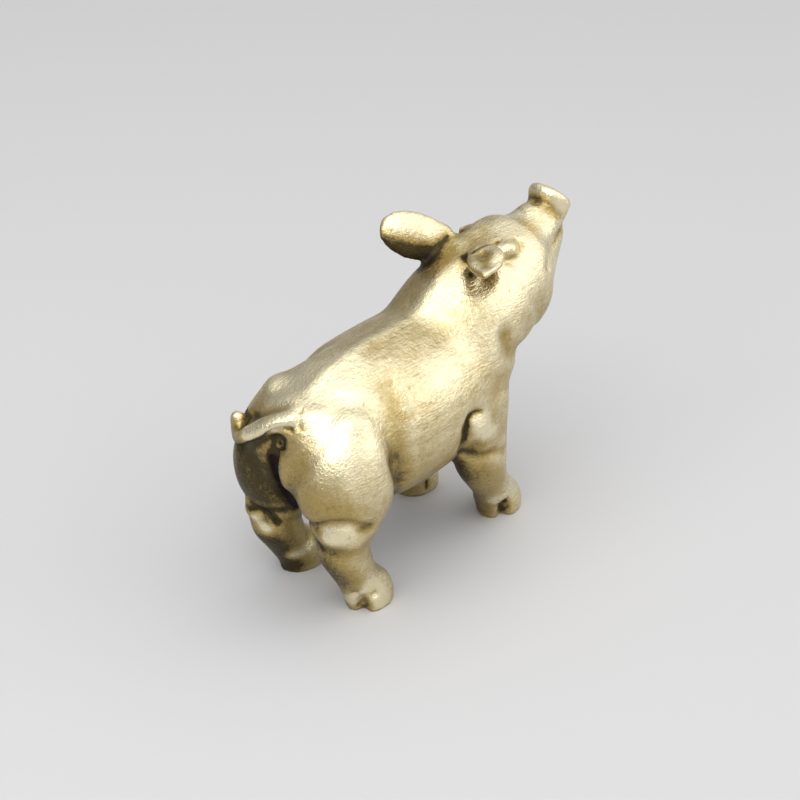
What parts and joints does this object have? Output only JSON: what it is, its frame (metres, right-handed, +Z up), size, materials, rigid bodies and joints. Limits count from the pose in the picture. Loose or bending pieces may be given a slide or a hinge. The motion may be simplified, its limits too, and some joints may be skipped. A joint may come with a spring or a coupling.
{
  "type": "pig figurine tea pet",
  "caption": "Small solid brass casting of a standing piglet with a raised snout, leaf-shaped ears and a curled tail, set out on a tea tray.",
  "frame": {"origin": "middle of the bounding box, on the floor that the hooves stand on", "axes": "the pig faces -Y, its left side is +X and +Z is up"},
  "size_m": [0.0186, 0.0446, 0.0351],
  "materials": {
    "brass": "hand-rubbed cast brass, pale greenish gold, dark in the creases"
  },
  "bodies": {
    "root": {"pig": "brass"}
  },
  "joints": []
}
